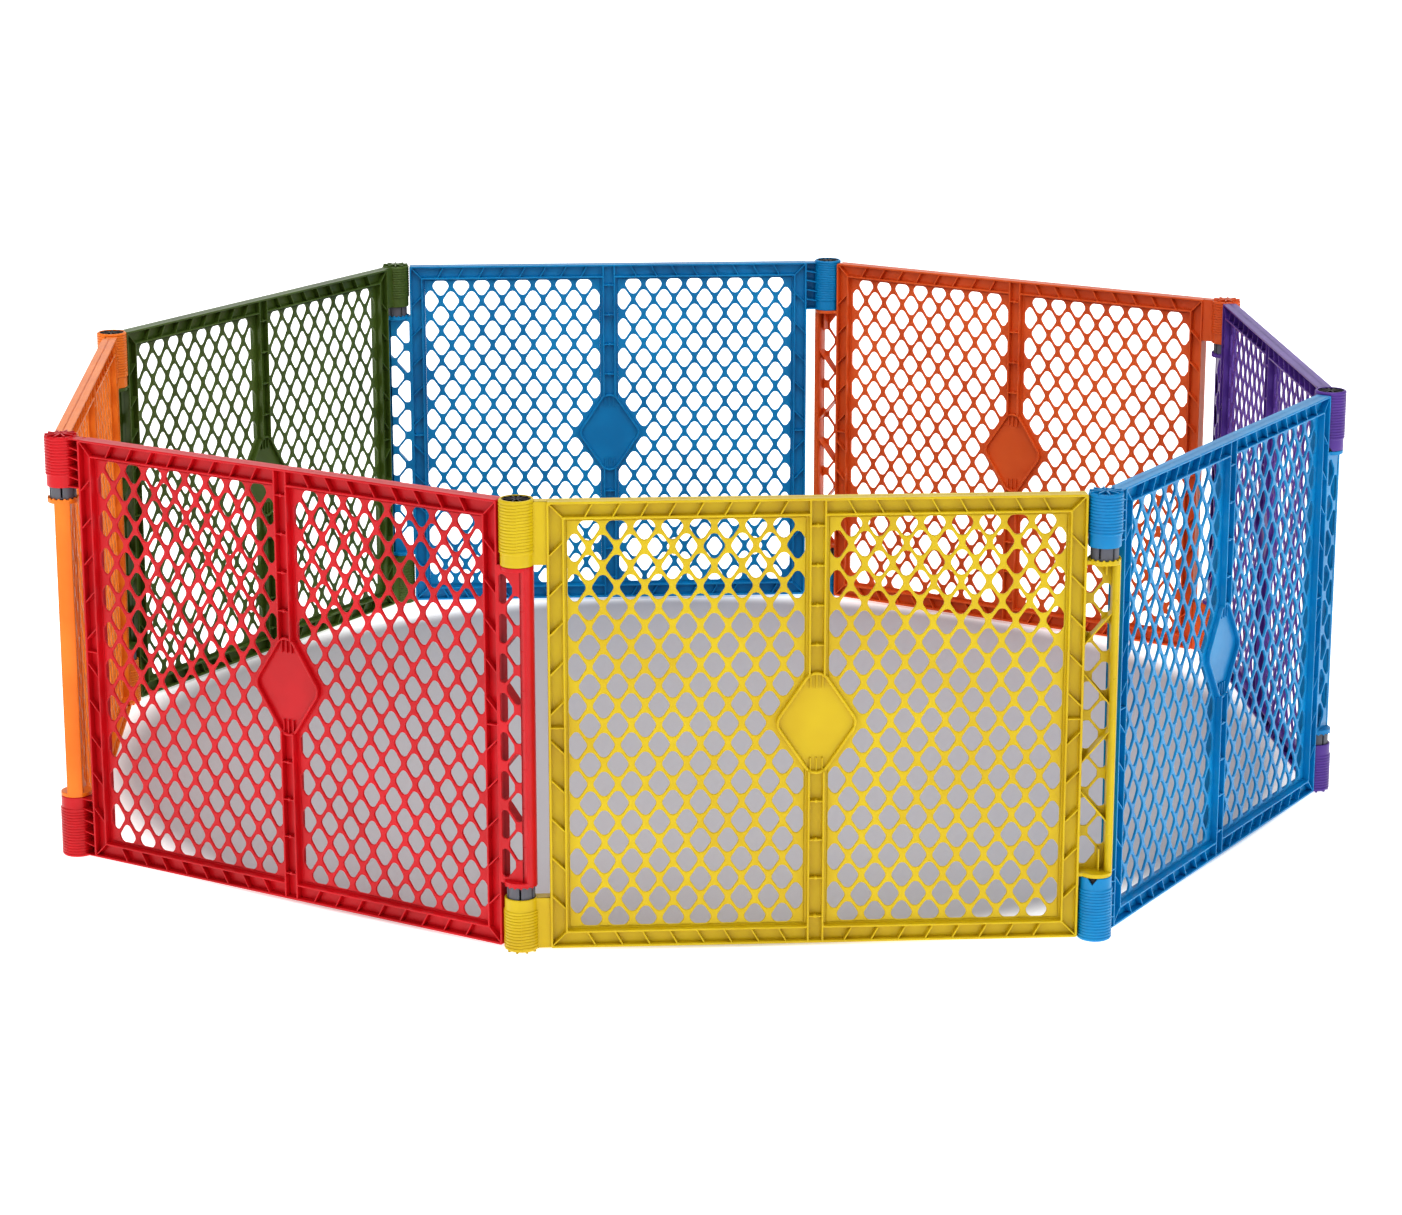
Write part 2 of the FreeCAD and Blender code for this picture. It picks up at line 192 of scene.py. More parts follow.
# %% Walls
def contains(loop, point):
    found = False
    for index, (x1, z1) in enumerate(loop):
        x0, z0 = loop[index - 1]
        if (z0 > point[1]) != (z1 > point[1]) and point[0] < x0 + (point[1] - z0) * (x1 - x0) / (z1 - z0):
            found = not found
    return found


def hole_flags(loops):
    """Whether each outline lies inside another one."""
    boxes = [(min(x for x, z in loop), max(x for x, z in loop), min(z for x, z in loop),
              max(z for x, z in loop)) for loop in loops]
    flags = []
    for loop in loops:
        x, z = loop[0]
        around = [other for other, (x0, x1, z0, z1) in zip(loops, boxes)
                  if other is not loop and x0 < x < x1 and z0 < z < z1]
        flags.append(any(contains(other, (x, z)) for other in around))
    return flags


def drawn_in(loop, amount):
    """The outline moved sideways, to the left of its own direction."""
    points, made = [Vector(point) for point in loop], []
    for index, here in enumerate(points):
        back = (here - points[index - 1]).normalized()
        ahead = (points[(index + 1) % len(points)] - here).normalized()
        side = Vector((-back.y - ahead.y, back.x + ahead.x)).normalized()
        made.append(here + side * amount / max(0.5, side.dot(Vector((-back.y, back.x)))))
    return made


def cap_triangles(rings, holes):
    """Triangles between the outlines, as index triples into all their points in order."""
    points = [point for ring in rings for point in ring]
    owner = [index for index, ring in enumerate(rings) for point in ring]
    edges, start = [], 0
    for ring in rings:
        edges += [(start + i, start + (i + 1) % len(ring)) for i in range(len(ring))]
        start += len(ring)
    result = delaunay_2d_cdt(points, edges, [], 1, 1e-5)
    faces, came_from = result[2], result[3]
    original = [ids[0] if ids else None for ids in came_from]
    triangles = []
    for face in faces:
        ids = [original[index] for index in face]
        if None in ids or len(set(ids)) < 3:
            continue
        owners = {owner[i] for i in ids}
        if len(owners) > 1 or not holes[owner[ids[0]]]:
            triangles.append(ids)
    return triangles


def flat_wall(loops, depth, edge, middle=0.0, steps=1, lying=False):
    """A wall with these outlines. It stands in the panel's plane, or lies level."""
    holes = hole_flags(loops)
    turned_loops = []
    for loop, hole in zip(loops, holes):
        area = sum(loop[i - 1][0] * loop[i][1] - loop[i][0] * loop[i - 1][1] for i in range(len(loop)))
        turned_loops.append(list(reversed(loop)) if (area < 0) != hole else list(loop))
    turns = [math.pi / 2 * step / (steps + 1) for step in range(steps + 2)]
    rows = [(edge * (1 - math.sin(t)), depth / 2 - edge * (1 - math.cos(t))) for t in turns]
    rows += [(inset, -out) for inset, out in reversed(rows)]
    form, rings = bmesh.new(), []
    for inset, out in rows:
        row = []
        for loop in turned_loops:
            row.append([form.verts.new((p.x, p.y, middle + out) if lying else (p.x, middle + out, p.y))
                        for p in drawn_in(loop, inset)])
        rings.append(row)
    for row, following in zip(rings, rings[1:]):
        for here, there in zip(row, following):
            for i in range(len(here)):
                j = (i + 1) % len(here)
                form.faces.new((here[i], here[j], there[j], there[i]))
    triangles = cap_triangles([drawn_in(loop, edge) for loop in turned_loops], holes)
    for row in (rings[0], rings[-1]):
        corners = [corner for ring in row for corner in ring]
        for ids in triangles:
            form.faces.new([corners[i] for i in ids])
    mesh = bpy.data.meshes.new("wall")
    form.to_mesh(mesh)
    form.free()
    return mesh


def gathered(name, parts):
    """One mesh out of several, each welded on its own first."""
    whole = bmesh.new()
    for part in parts:
        piece = bmesh.new()
        piece.from_mesh(part)
        bmesh.ops.remove_doubles(piece, verts=piece.verts, dist=0.01)
        bmesh.ops.recalc_face_normals(piece, faces=piece.faces)
        piece.to_mesh(part)
        piece.free()
        whole.from_mesh(part)
        bpy.data.meshes.remove(part)
    mesh = bpy.data.meshes.new(name)
    whole.to_mesh(mesh)
    whole.free()
    mesh.shade_smooth()
    return mesh


print("a square wall has", len(flat_wall([rectangle(0, 10, 0, 10)], 2, 0.5).polygons), "faces")

# %% [markdown]
# ## The mesh panes
# Each pane is a plate pierced by diamond holes in offset rows. Whole holes fill the pane and
# the outer rows are cut a little past their middles, so they end in a straight side. The
# holes that the plaque would cut are left out. Strand width sets how far each hole shrinks
# from its cell, and a corner radius softens it, as a mould cutter does.

# %% Mesh panes
HOLE_X, HOLE_Z, CUT_REACH, RIM, STRAND = 39.4, 57.6, 10, 1.5, 4.6
MESH_DEPTH, HOLE_CORNER = 4, 8
PLAQUE_WIDTH = (plaque_high.x - plaque_low.x) * 1000
PLAQUE_HEIGHT = (plaque_high.z - plaque_low.z) * 1000
PLAQUE_CORNER = 20


def clipped(points, axis, limit, keep):
    """The part of an outline on one side of a line: axis 0 is x, 1 is z; keep is +1 for above."""
    kept = []
    for index, here in enumerate(points):
        before = points[index - 1]
        inside = (here[axis] - limit) * keep >= 0
        if inside != ((before[axis] - limit) * keep >= 0):
            share = (limit - before[axis]) / (here[axis] - before[axis])
            kept.append(tuple(b + share * (h - b) for b, h in zip(before, here)))
        if inside:
            kept.append(here)
    return kept


def clear_of_plaque(hole):
    a, b = PLAQUE_WIDTH / 2 - PLAQUE_CORNER, PLAQUE_HEIGHT / 2 - PLAQUE_CORNER
    slope = math.hypot(a, b)
    reach = a * b / slope + PLAQUE_CORNER + STRAND
    return all((abs(x - MIDDLE_X) * b + abs(z - MIDDLE_Z) * a) / slope > reach for x, z in hole)


def steps_across(x0, x1, pitch):
    inside = x1 - x0 - 2 * CUT_REACH - 2 * RIM
    count = round(inside / pitch)
    return inside / count, count


def pane_holes(x0, x1):
    pitch_x, columns = steps_across(x0, x1, HOLE_X)
    pitch_z, rows = steps_across(PANE_LOW, PANE_HIGH, HOLE_Z)
    shrink = 1 - STRAND * math.hypot(pitch_x, pitch_z) / (pitch_x * pitch_z)
    half_x, half_z = shrink * pitch_x / 2, shrink * pitch_z / 2
    start = RIM + CUT_REACH
    holes = []
    for i in range(2 * columns + 1):
        for k in range(2 * rows + 1):
            x, z = x0 + start + i * pitch_x / 2, PANE_LOW + start + k * pitch_z / 2
            hole = [(x - half_x, z), (x, z - half_z), (x + half_x, z), (x, z + half_z)]
            for axis, limit, keep in ((0, x0 + RIM, 1), (0, x1 - RIM, -1),
                                      (1, PANE_LOW + RIM, 1), (1, PANE_HIGH - RIM, -1)):
                hole = clipped(hole, axis, limit, keep)
            if (i + k) % 2 and clear_of_plaque(hole):
                holes.append(rounded(hole, HOLE_CORNER))
    return holes


def mesh_panes():
    parts = []
    for x0, x1 in PANES:
        holes = pane_holes(x0, x1)
        print("pane with", len(holes), "holes")
        parts.append(flat_wall([rectangle(x0, x1, PANE_LOW, PANE_HIGH)] + holes, MESH_DEPTH, 1.1))
    return gathered("mesh", parts)


meshes = {"mesh": mesh_panes()}

# %% [markdown]
# ## The frame
# The frame is a channel section, open on both faces: a thin wall in the middle, a flange
# round the outside, another round each window, and slanted ribs between them. The ribs lean
# one way left of the centre bar and the other way right of it. The corners have mitre ribs.
# Small round marks sit on the bar's ribs, where the mould's ejector pins pressed.

# %% Frame walls
def slanted(x0, z0, x1, z1, thickness=RIB):
    """The outline of a thin rib from one point to another."""
    along = Vector((x1 - x0, z1 - z0)).normalized()
    side = Vector((-along.y, along.x)) * thickness / 2
    ends = Vector((x0, z0)), Vector((x1, z1))
    return [ends[0] - side, ends[1] - side, ends[1] + side, ends[0] + side]


def rail_ribs():
    """One rib over each column of holes, in both rails."""
    ribs = []
    reach = TOP - PANE_HIGH - EDGE_FLANGE / 2 - BORDER - INNER_FLANGE / 2
    for (x0, x1), side in zip(PANES, (1, -1)):
        pitch, columns = steps_across(x0, x1, HOLE_X)
        for column in range(columns):
            x, lean = x0 + RIM + CUT_REACH + (column + 0.5) * pitch, side * 6
            high, low = TOP - EDGE_FLANGE / 2, BOTTOM + EDGE_FLANGE / 2
            ribs.append(slanted(x - lean, high - reach, x + lean, high))
            ribs.append(slanted(x - lean, low + reach, x + lean, low))
    return ribs


def stile_ribs():
    """Slanted ribs in both uprights, level ones at mid height, and the corner mitres."""
    ribs = []
    pitch, rows = steps_across(PANE_LOW, PANE_HIGH, HOLE_Z)
    across = PANES[0][0] - LEFT - EDGE_FLANGE / 2 - BORDER - INNER_FLANGE / 2
    rise = TOP - PANE_HIGH - EDGE_FLANGE / 2 - BORDER - INNER_FLANGE / 2
    for edge, side in ((LEFT + EDGE_FLANGE / 2, 1), (RIGHT - EDGE_FLANGE / 2, -1)):
        inner = edge + side * across
        for row in range(rows):
            z = PANE_LOW + RIM + CUT_REACH + (row + 0.5) * pitch
            lean = math.copysign(across / 2, z - MIDDLE_Z)
            ribs.append(slanted(edge, z - lean, inner, z + lean))
        ribs.append(slanted(edge, MIDDLE_Z, inner, MIDDLE_Z))
        for end, inward in ((BOTTOM + EDGE_FLANGE / 2, 1), (TOP - EDGE_FLANGE / 2, -1)):
            ribs.append(slanted(edge, end, inner, end + inward * rise))
    return ribs


def bar_ribs():
    pitch, rows = steps_across(PANE_LOW, PANE_HIGH, HOLE_Z)
    reach = BAR_WIDTH / 2 - INNER_FLANGE / 2
    levels = [PANE_LOW + RIM + CUT_REACH + row * pitch for row in range(rows + 1)]
    clear = [z for z in levels if abs(z - MIDDLE_Z) > PLAQUE_HEIGHT / 2]
    return [slanted(MIDDLE_X - reach, z, MIDDLE_X + reach, z) for z in clear], clear


def disc(x, z, radius, steps=16):
    """A round outline."""
    turn = 2 * math.pi / steps
    return [(x + radius * math.cos(turn * i), z + radius * math.sin(turn * i)) for i in range(steps)]


def window_flange(x0, x1, near, far, opening):
    """A flange round one window, open on the bar's side where the plaque stands."""
    z0, z1 = PANE_LOW - BORDER, PANE_HIGH + BORDER
    inner, outer = (x0 - near, x1 + far), (x0 - near - INNER_FLANGE, x1 + far + INNER_FLANGE)
    bar, away = opening, 1 - opening
    gap = PLAQUE_HEIGHT / 2 - 6
    low, high = z0 - INNER_FLANGE, z1 + INNER_FLANGE
    loop = [(outer[bar], MIDDLE_Z + gap), (outer[bar], high), (outer[away], high),
            (outer[away], low), (outer[bar], low), (outer[bar], MIDDLE_Z - gap),
            (inner[bar], MIDDLE_Z - gap), (inner[bar], z0), (inner[away], z0),
            (inner[away], z1), (inner[bar], z1), (inner[bar], MIDDLE_Z + gap)]
    return rounded(loop, 1.4, 3)


def frame_walls():
    margin = BORDER + INNER_FLANGE
    bar_gap = (BAR_ZONE - BAR_WIDTH) / 2
    outer = rounded(rectangle(LEFT, RIGHT, BOTTOM, TOP), 3)
    panes = [rounded(rectangle(x0, x1, PANE_LOW, PANE_HIGH), 1.5) for x0, x1 in PANES]
    inset = rectangle(LEFT + EDGE_FLANGE, RIGHT - EDGE_FLANGE, BOTTOM + EDGE_FLANGE, TOP - EDGE_FLANGE)
    parts = [flat_wall([outer] + panes, WEB, 0.5),
             flat_wall([outer, rounded(inset, 2)], DEPTH, 0.9)]
    flanges = [window_flange(*PANES[0], BORDER, bar_gap, 1),
               window_flange(*PANES[1], bar_gap, BORDER, 0)]
    parts.append(flat_wall(flanges, DEPTH - 0.6, 0.8))
    level, clear = bar_ribs()
    parts.append(flat_wall(rail_ribs() + stile_ribs() + level, DEPTH - 2, 0.5))
    stubs = []
    for side in (-1, 1):
        x = MIDDLE_X + side * (BAR_WIDTH - INNER_FLANGE) / 2
        for z0, z1 in ((BOTTOM + 1, PANE_LOW - margin + 1), (PANE_HIGH + margin - 1, TOP - 1)):
            stubs.append(rectangle(x - INNER_FLANGE / 2, x + INNER_FLANGE / 2, z0, z1))
    parts.append(flat_wall(stubs, DEPTH - 0.6, 0.8))
    parts.append(flat_wall([disc(MIDDLE_X, z, 2.6) for z in clear], DEPTH - 2.6, 0.8))
    return gathered("frame", parts)


meshes["frame"] = frame_walls()
print("frame faces", len(meshes["frame"].polygons))

# %% [markdown]
# ## The plaque
# A diamond with soft corners stands across the centre bar: a raised rim round a smooth
# recessed face, with three short ribs in the top and bottom corners. Its outline is four
# arcs joined by the lines that touch them.

# %% Plaque
def diamond(inset):
    """The plaque's outline, moved in by that much."""
    a, b = PLAQUE_WIDTH / 2 - PLAQUE_CORNER, PLAQUE_HEIGHT / 2 - PLAQUE_CORNER
    radius = PLAQUE_CORNER - inset
    tilt = math.atan2(a, b)
    points = []
    for x, z, start in ((a, 0, 0), (0, b, 90), (-a, 0, 180), (0, -b, 270)):
        half = tilt if start % 180 == 0 else math.pi / 2 - tilt
        for step in range(-6, 7):
            angle = math.radians(start) + half * step / 6
            points.append((MIDDLE_X + x + radius * math.cos(angle),
                           MIDDLE_Z + z + radius * math.sin(angle)))
    return points


PLAQUE_DEPTH, PLAQUE_RIM = (plaque_high.y - plaque_low.y) * 1000, 4
tips = []
for end in (-1, 1):
    for column in (-1, 0, 1):
        x, reach = MIDDLE_X + column * 8.5, PLAQUE_HEIGHT / 2 - PLAQUE_RIM / 2 - 2.5 * abs(column)
        z0, z1 = sorted((MIDDLE_Z + end * reach, MIDDLE_Z + end * (PLAQUE_HEIGHT / 2 - 24)))
        tips.append(rectangle(x - 1, x + 1, z0, z1))
meshes["plaque"] = gathered("plaque", [
    flat_wall([diamond(0), diamond(PLAQUE_RIM)], PLAQUE_DEPTH, 1.4, steps=2),
    flat_wall([diamond(PLAQUE_RIM / 2)], 5.2, 0.4),
    flat_wall(tips, PLAQUE_DEPTH - 5, 0.5)])
print("plaque mm", round(PLAQUE_WIDTH, 1), "x", round(PLAQUE_HEIGHT, 1))

# %% [markdown]
# ## Turned shapes
# Knuckles, collars and pins are round about the hinge, so each is a profile carried round a
# circle. The profile is a list of radius and height pairs. Giving the height a small change
# that depends on the angle also makes notches and teeth at an end.

# %% Lathe
def turned(profile, x=0.0, around=96, lift=None):
    """A closed ring of (radius, height) points carried round the upright axis at x."""
    form = bmesh.new()
    rings = []
    for step in range(around):
        angle = 2 * math.pi * step / around
        ring = []
        for radius, height in profile:
            z = height + (lift(angle, height) if lift else 0.0)
            ring.append(form.verts.new((x + radius * math.cos(angle), radius * math.sin(angle), z)))
        rings.append(ring)
    for step in range(around):
        here, after = rings[step], rings[(step + 1) % around]
        for index in range(len(profile)):
            following = (index + 1) % len(profile)
            form.faces.new((here[index], after[index], after[following], here[following]))
    mesh = bpy.data.meshes.new("turned")
    form.to_mesh(mesh)
    form.free()
    return mesh


def tooth(angle, count, share):
    """1 at the middle of each of count teeth round the circle, falling to 0 at its sides."""
    phase = abs((angle / (2 * math.pi) * count) % 1 - 0.5) * 2
    return max(0.0, 1 - phase / share)


washer = turned([(1, 0), (2, 0), (2, 1), (1, 1)], around=8)
print("a washer of 8 steps has", len(washer.polygons), "faces")

# %% [markdown]
# ## The knuckles
# A knuckle is a sleeve with grip rings round it and a smooth band at the end that faces the
# hinge strip. The long knuckle's smooth end has one V notch, cut by lifting the end's points
# near its angle. The short knuckle's far end is closed by a spoked cap in the panel's own
# colour. A web joins each to the frame: plain on the outer face, and a pocket with level
# ribs on the inner one. A seam runs down both sides, where the mould's halves met, and the
# rings on one side of it sit a little higher.

# %% Knuckles
GRIP_PITCH, GROOVE = 4.3, 1.5
NOTCH_AT, NOTCH_WIDTH, NOTCH_DEPTH = math.radians(165), 15, 10
SEAM_STEP, SEAM_RADIUS, SEAM_SHARE = 0.9, 0.8, 0.965
SPOKES, SPOKE_WIDTH = 10, 2.6
HUB_OUTER, HUB_INNER, CAP_DEPTH = 5.6, 3.2, 9
WEB_SET_IN, WEB_RIBS, WEB_RIB_LEAN = 3, 4, 2


def sleeve_profile(z_smooth, z_far, rim):
    """Outside from the smooth end to the far end with its grip rings, then back up the bore."""
    way = 1 if z_far > z_smooth else -1
    points = [(BORE + 0.4, z_smooth), (BAND_RADIUS - 0.7, z_smooth),
              (BAND_RADIUS, z_smooth + way * 0.7), (BAND_RADIUS, z_smooth + way * 6),
              (BAND_RADIUS, z_smooth + way * (SMOOTH_BAND - 0.8))]
    length = abs(z_far - z_smooth) - rim
    count = int((length - SMOOTH_BAND - 1) // GRIP_PITCH)
    pitch = (length - SMOOTH_BAND - 1) / count
    for ring in range(count):
        z = SMOOTH_BAND + ring * pitch
        for share, depth in ((0.0, 1.0), (0.12, 0.3), (0.26, 0), (0.7, 0), (0.84, 0.3)):
            points.append((GRIP_RADIUS - GROOVE * depth, z_smooth + way * (z + share * pitch)))
    end = z_far - way * rim
    points += [(GRIP_RADIUS - 1.0, end - way * 0.9), (GRIP_RADIUS - 2.0, end), (BORE + 0.4, end),
               (BORE, end - way * 0.4), (BORE, z_smooth + way * 0.4)]
    return points


def spokes(radius_in, radius_out, z0, z1, x=0.0):
    """Radial bars between two radii, lying level."""
    bars = []
    for index in range(SPOKES):
        angle = 2 * math.pi * index / SPOKES
        arm = Vector((math.cos(angle), math.sin(angle)))
        start, end = arm * radius_in, arm * radius_out
        bars.append(slanted(x + start.x, start.y, x + end.x, end.y, SPOKE_WIDTH))
    return flat_wall(bars, z1 - z0, 0.4, middle=(z0 + z1) / 2, lying=True)


def web_parts(z0, z1):
    """The plain outer wall of a knuckle's web, its two end walls and the level ribs behind it."""
    end = LEFT + 1
    in_sleeve = math.sqrt(BAND_RADIUS ** 2 - DEPTH ** 2 / 4) - 1
    wall = flat_wall([rectangle(in_sleeve, end, z0, z1)], WEB, 0.8,
                     middle=WEB_SET_IN + WEB / 2 - DEPTH / 2)
    clear_of_bore = BORE + 0.8
    ribs = [rectangle(clear_of_bore, end, z0, z0 + RIB), rectangle(clear_of_bore, end, z1 - RIB, z1)]
    for index in range(1, WEB_RIBS + 1):
        z = z0 + (z1 - z0) * index / (WEB_RIBS + 1)
        ribs.append(slanted(clear_of_bore, z - WEB_RIB_LEAN, end, z + WEB_RIB_LEAN))
    return [wall, flat_wall(ribs, DEPTH - 4, 0.5, middle=1.6)]


def knuckle_pair():
    face = HEIGHT - LONG_KNUCKLE
    grips = (3, SHORT_KNUCKLE - SMOOTH_BAND - 1), (face + SMOOTH_BAND + 1, HEIGHT - 1)

    def seam_step(angle, height):
        in_grip = 4 < height < grips[0][1] or grips[1][0] + 1 < height < HEIGHT - 3
        return SEAM_STEP if in_grip and math.cos(angle) > 0 else 0.0

    def notch(angle, height):
        slope = 1 - abs(angle - NOTCH_AT) * BAND_RADIUS / (NOTCH_WIDTH / 2)
        return max(seam_step(angle, height), face + NOTCH_DEPTH * slope - height)

    parts = [turned(sleeve_profile(SHORT_KNUCKLE, 0.0, 2.4), lift=seam_step),
             turned(sleeve_profile(face, HEIGHT, 0.2), lift=notch)]
    parts += web_parts(BOTTOM, SHORT_KNUCKLE - 1) + web_parts(face + 1, TOP)
    for y in (-GRIP_RADIUS, GRIP_RADIUS):
        for z0, z1 in grips:
            parts.append(flat_wall([disc(0, y * SEAM_SHARE, SEAM_RADIUS, 8)], z1 - z0, 0.3,
                                   middle=(z0 + z1) / 2, lying=True))
    parts.append(turned([(HUB_OUTER, 0.6), (HUB_OUTER, CAP_DEPTH), (HUB_INNER, CAP_DEPTH),
                         (HUB_INNER, 0.6)], around=32))
    parts.append(spokes(HUB_OUTER - 1, GRIP_RADIUS - 1.2, 0.3, 7))
    parts.append(flat_wall([disc(0, 0, BORE + 1, 48)], 2, 0.3, middle=CAP_DEPTH, lying=True))
    return gathered("knuckles", parts)


meshes["knuckles"] = knuckle_pair()
print("knuckle faces", len(meshes["knuckles"].polygons))

# %% [markdown]
# ## The hinge strip
# The strip stands between the neighbour's two knuckles. A plate pierced by D-shaped holes,
# every other one turned round, reaches from the frame to a rounded edge bar. Round end discs
# seat on the knuckles, and the bare end has a crown of small teeth. Four braces zigzag
# across the hollow in front of the plate, and an upright rib stiffens each end.

# %% Hinge strip
D_WIDTH, D_HEIGHT, D_TIP, D_SQUARE, D_BORDER, END_CLEAR = 23, 42, 9, 0.42, 2.4, 9
EDGE_BAR, STRIP_PLATE, END_DISC, CROWN, CROWN_TEETH = 12, 4, 6, 3, 16
BAR_X, PLATE_Y = PITCH + BAND_RADIUS - EDGE_BAR, (DEPTH - STRIP_PLATE) / 2
BRACES, BRACE_RISE, BRACE_WIDTH = ((131, 1), (43, -1), (-43, 1), (-131, -1)), 23, 2.2


def hole_rows():
    """Height of each row of strip holes, and whether its holes are on the frame's side."""
    pitch, rows = steps_across(PANE_LOW, PANE_HIGH, HOLE_Z)
    start = PANE_LOW + RIM + CUT_REACH
    heights = [(start + index * pitch / 2, index % 2) for index in range(2 * rows + 1)]
    low, high = STRIP_LOW + END_CLEAR + D_HEIGHT / 2, STRIP_HIGH - END_CLEAR - D_HEIGHT / 2
    return [(z, side) for z, side in heights if low <= z <= high]


def d_holes():
    holes = []
    for z, frame_side in hole_rows():
        flat, point = (RIGHT + D_BORDER, D_WIDTH) if frame_side else (BAR_X, -D_WIDTH)
        near = flat + point * D_SQUARE
        shape = [(flat, z - D_HEIGHT / 2), (near, z - D_HEIGHT / 2), (flat + point, z - D_TIP / 2),
                 (flat + point, z + D_TIP / 2), (near, z + D_HEIGHT / 2), (flat, z + D_HEIGHT / 2)]
        holes.append(rounded(shape, 5, 3))
    return holes


def edge_bar(z0, z1):
    """The bar with its rounded outside, and a fine level mark at every hole beside it."""
    reach = math.asin(DEPTH / 2 / BAND_RADIUS)
    turns = [reach * step / 8 for step in range(-8, 9)]
    outside = [(PITCH + BAND_RADIUS * math.cos(turn), BAND_RADIUS * math.sin(turn)) for turn in turns]
    outline = [(BAR_X, -DEPTH / 2)] + outside + [(BAR_X, DEPTH / 2)]
    levels = [z for z, frame_side in hole_rows() if not frame_side]
    marks = [slanted(BAR_X + 2.5, z, BAR_X + 8.5, z, 1.4) for z in levels]
    return [flat_wall([outline], z1 - z0, 1.0, middle=(z0 + z1) / 2, lying=True),
            flat_wall(marks, DEPTH + 0.7, 0.3)]


def crown(base):
    """A thin ring with small round teeth on the bare end."""
    profile = [(BORE, base - 1), (BAND_RADIUS - 0.3, base - 1), (BAND_RADIUS, base - 0.5),
               (BAND_RADIUS, base + 0.2), (BAND_RADIUS - 0.3, base + 0.4), (BORE, base + 0.4)]

    def teeth(angle, height):
        return 2.3 * math.sqrt(tooth(angle, CROWN_TEETH, 0.5)) if height > base + 0.1 else 0.0

    return turned(profile, x=PITCH, around=192, lift=teeth)


def hinge_strip():
    base = STRIP_HIGH - CROWN
    low, high = STRIP_LOW + END_DISC, base - END_DISC
    plate = rectangle(RIGHT - 1, BAR_X + 3, STRIP_LOW, base)
    parts = [flat_wall([plate] + d_holes(), STRIP_PLATE, 0.8, middle=PLATE_Y), crown(base)]
    parts += edge_bar(STRIP_LOW + 1, base - 1)
    for z in (STRIP_LOW + END_DISC / 2, base - END_DISC / 2):
        parts.append(flat_wall([disc(PITCH, 0, BAND_RADIUS, 64)], END_DISC, 0.9, middle=z, lying=True))
        parts.append(flat_wall([rectangle(RIGHT - 1, PITCH, 0.2 - DEPTH / 2, DEPTH / 2 - 0.2)],
                               END_DISC - 0.4, 0.8, middle=z, lying=True))
    braces = [rectangle(BAR_X - 10, BAR_X - 8, high - 16, high + 1),
              rectangle(BAR_X - 10, BAR_X - 8, low - 1, low + 34)]
    for height, lean in BRACES:
        z, rise = HEIGHT / 2 + height, lean * BRACE_RISE
        braces.append(slanted(RIGHT - 0.5, z - rise, BAR_X + 1, z + rise, BRACE_WIDTH))
    parts.append(flat_wall(braces, DEPTH - STRIP_PLATE - 4, 0.5, middle=-0.5))
    return gathered("strip", parts)


meshes["strip"] = hinge_strip()
print("strip faces", len(meshes["strip"].polygons))

# %% [markdown]
# ## The pivots
# The grey collar is a sleeve with six slots cut from its far end, so that it springs into the
# short knuckle. The black pin fills the long knuckle, and its end shows a hub and spokes.

# %% Pivots
COLLAR_LOW, COLLAR_HIGH = (value.z * 1000 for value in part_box("yellow_collar"))
PIN_LOW, PIN_HIGH = (value.z * 1000 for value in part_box("yellow_pin"))
COLLAR_SLOTS, SLOT, COLLAR_WALL, COLLAR_FLOOR = 6, 2.4, 3.5, 3


def sector_outline(outer, inner, start, end, steps=10):
    """A closed arc-shaped outline between two radii and two angles, about the strip's axis."""
    turns = [start + (end - start) * step / steps for step in range(steps + 1)]
    way_out = [(PITCH + outer * math.cos(turn), outer * math.sin(turn)) for turn in turns]
    way_back = [(PITCH + inner * math.cos(turn), inner * math.sin(turn)) for turn in reversed(turns)]
    return way_out + way_back


def collar():
    gap, part = math.asin(SLOT / 2 / PIN_RADIUS), 2 * math.pi / COLLAR_SLOTS
    outlines = [sector_outline(PIN_RADIUS, PIN_RADIUS - COLLAR_WALL, index * part + gap,
                               (index + 1) * part - gap) for index in range(COLLAR_SLOTS)]
    base_top = COLLAR_LOW + COLLAR_FLOOR
    base = turned([(PIN_RADIUS - 6, COLLAR_LOW), (PIN_RADIUS - 0.6, COLLAR_LOW),
                   (PIN_RADIUS - 0.6, base_top), (PIN_RADIUS - 6, base_top)], x=PITCH)
    fingers = flat_wall(outlines, COLLAR_HIGH - COLLAR_LOW, 0.4,
                        middle=(COLLAR_LOW + COLLAR_HIGH) / 2, lying=True)
    return gathered("collar", [fingers, base])


def pin():
    shell = [(PIN_RADIUS - 1.8, PIN_LOW), (PIN_RADIUS - 0.5, PIN_LOW), (PIN_RADIUS, PIN_LOW + 0.5),
             (PIN_RADIUS, PIN_HIGH - 0.5), (PIN_RADIUS - 0.5, PIN_HIGH), (PIN_RADIUS - 1.8, PIN_HIGH)]
    hub = [(2.4, 0.5), (4.6, 0.5), (5.0, 0.9), (5.0, PIN_LOW + 9), (2.4, PIN_LOW + 9)]
    floor = flat_wall([disc(PITCH, 0, PIN_RADIUS - 1.2, 48)], 3, 0.4, middle=PIN_LOW + 9, lying=True)
    arms = spokes(4.2, PIN_RADIUS - 0.4, 0.4, PIN_LOW + 8, x=PITCH)
    return gathered("pin", [turned(shell, x=PITCH), turned(hub, x=PITCH, around=32), floor, arms])


meshes["collar"], meshes["pin"] = collar(), pin()
print("collar mm", round(COLLAR_HIGH - COLLAR_LOW, 1), "pin mm", round(PIN_HIGH - PIN_LOW, 1))

